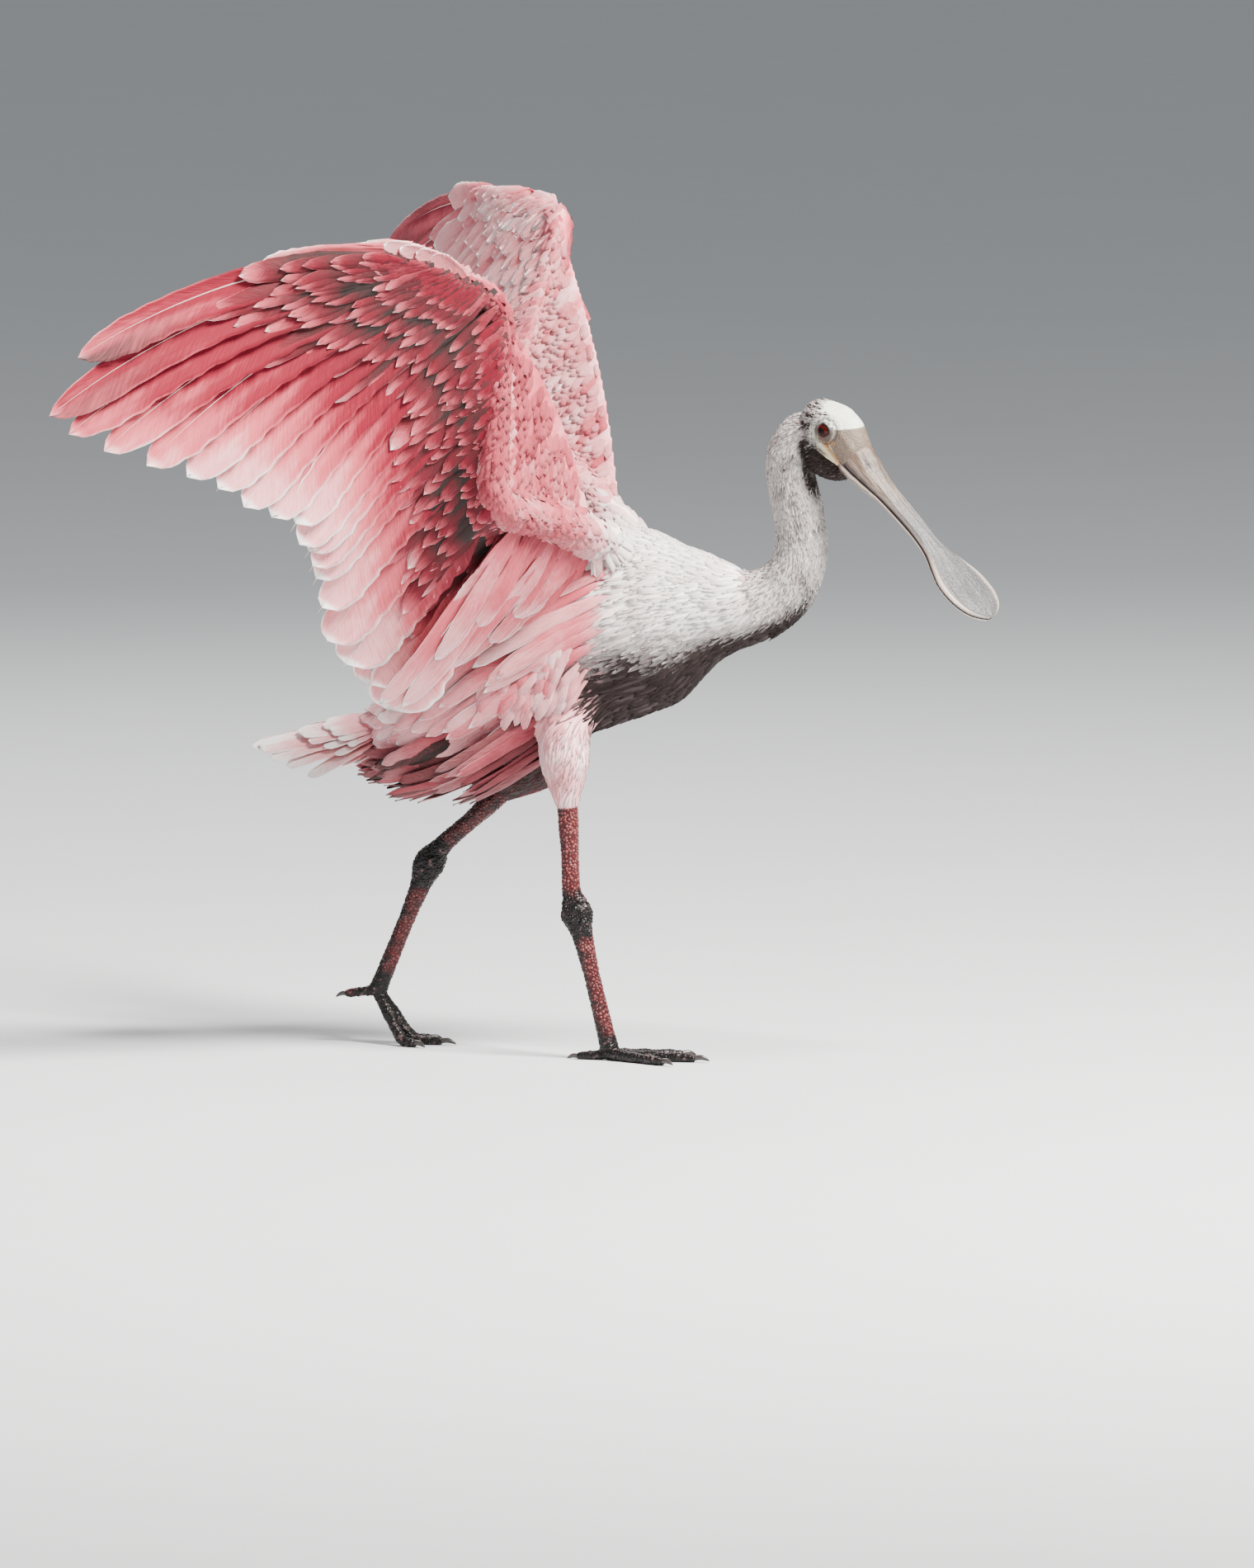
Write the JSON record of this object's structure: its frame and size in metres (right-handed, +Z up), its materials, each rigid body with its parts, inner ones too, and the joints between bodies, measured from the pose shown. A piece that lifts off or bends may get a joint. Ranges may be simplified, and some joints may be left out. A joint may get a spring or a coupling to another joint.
{
  "type": "roseate spoonbill",
  "caption": "Life-size still model of a wading spoonbill with both wings raised, one foot flat and the other pushing off, for display.",
  "frame": {"origin": "on the floor, under the middle of the bird's box", "axes": "+X the way the body heads, +Y the bird's left, +Z up"},
  "size_m": [0.6128, 0.7368, 0.6173],
  "materials": {
    "body_feathers": "soft overlapping pale pink and white feathers",
    "neck_feathers": "short dense off-white feathers",
    "wing_feathers": "rose vanes with pale edges and crimson lining",
    "bare_skin": "bare wrinkled greenish white skin with dark mottling",
    "bill": "ridged horn, mottled grey and tan, slightly glossy",
    "eye": "wet gloss, red iris and black pupil",
    "leg_skin": "reticulate scales, dark red with black joints",
    "foot_skin": "dark scaled skin with horn claws"
  },
  "bodies": {
    "root": {"torso": "body_feathers", "neck_lower": "neck_feathers", "neck_upper": "neck_feathers", "head": "bare_skin", "bill_upper": "bill", "bill_lower": "bill", "tail": "body_feathers", "eye_right": "eye", "eye_left": "eye", "wing_right": "wing_feathers", "wing_left": "wing_feathers", "thigh_right": "body_feathers", "thigh_left": "body_feathers", "shank_right": "leg_skin", "shank_left": "leg_skin", "tarsus_right": "leg_skin", "tarsus_left": "leg_skin", "foot_right": "foot_skin", "foot_left": "foot_skin"}
  },
  "joints": []
}
